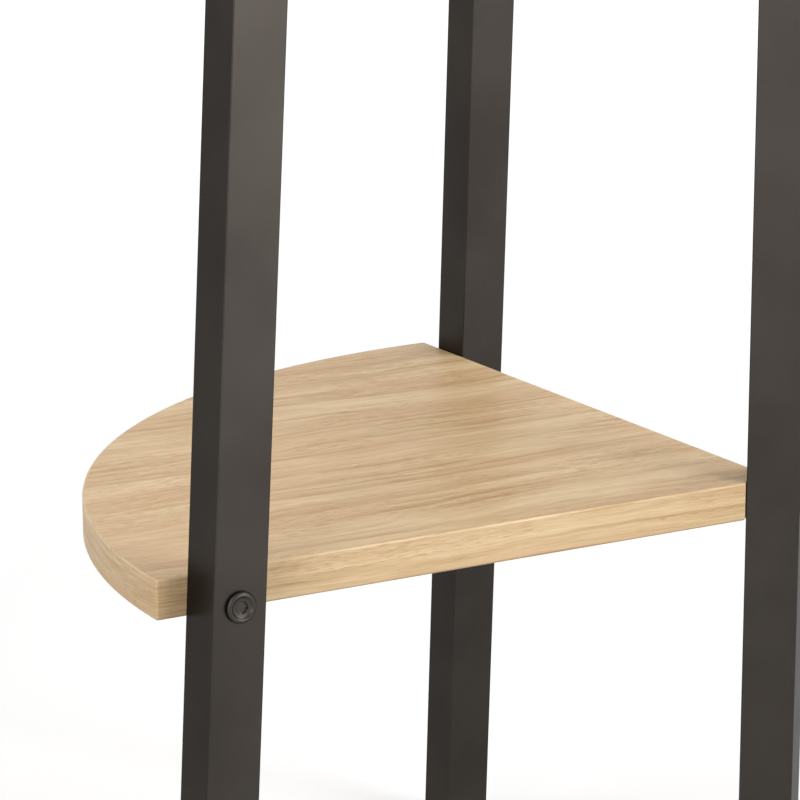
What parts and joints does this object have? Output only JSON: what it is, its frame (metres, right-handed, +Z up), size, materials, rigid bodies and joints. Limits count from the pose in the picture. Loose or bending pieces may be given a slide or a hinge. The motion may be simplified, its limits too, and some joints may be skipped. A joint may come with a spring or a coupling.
{
  "type": "corner shelf unit",
  "caption": "Corner shelf unit: quarter-round oak boards bolted between an upright square tube in the corner and two leaning square tubes on the boards' straight sides.",
  "frame": {"origin": "on the floor, at the middle of the unit's square footprint", "axes": "+Z up; the room's corner is at the back left (-X, +Y), one wall lies along +Y and one along -X, and the boards' round fronts face +X and -Y"},
  "size_m": [0.3498, 0.3498, 1.5228],
  "materials": {
    "oak_board": "light oak laminate, matt satin, printed grain along one straight side, edges alike",
    "painted_tube": "dark warm-grey powder coat, fine satin",
    "painted_bolt": "dark warm-grey coated steel, satin",
    "zinc_insert": "bare zinc alloy, semi-bright",
    "end_plug": "dark grey plastic, matt"
  },
  "bodies": {
    "root": {"shelf_1": "oak_board", "shelf_2": "oak_board", "shelf_3": "oak_board", "shelf_4": "oak_board", "leg_corner": "painted_tube", "leg_left": "painted_tube", "leg_right": "painted_tube", "foot_corner": "end_plug", "foot_left": "end_plug", "foot_right": "end_plug", "cap_corner": "end_plug", "cap_left": "end_plug", "cap_right": "end_plug", "bolt_1_corner": "painted_bolt", "bolt_1_left": "painted_bolt", "bolt_1_right": "painted_bolt", "bolt_2_corner": "painted_bolt", "bolt_2_left": "painted_bolt", "bolt_2_right": "painted_bolt", "bolt_3_corner": "painted_bolt", "bolt_3_left": "painted_bolt", "bolt_3_right": "painted_bolt", "bolt_4_corner": "painted_bolt", "bolt_4_left": "painted_bolt", "bolt_4_right": "painted_bolt", "insert_1_corner": "zinc_insert", "insert_1_left": "zinc_insert", "insert_1_right": "zinc_insert", "insert_2_corner": "zinc_insert", "insert_2_left": "zinc_insert", "insert_2_right": "zinc_insert", "insert_3_corner": "zinc_insert", "insert_3_left": "zinc_insert", "insert_3_right": "zinc_insert", "insert_4_corner": "zinc_insert", "insert_4_left": "zinc_insert", "insert_4_right": "zinc_insert"}
  },
  "joints": []
}
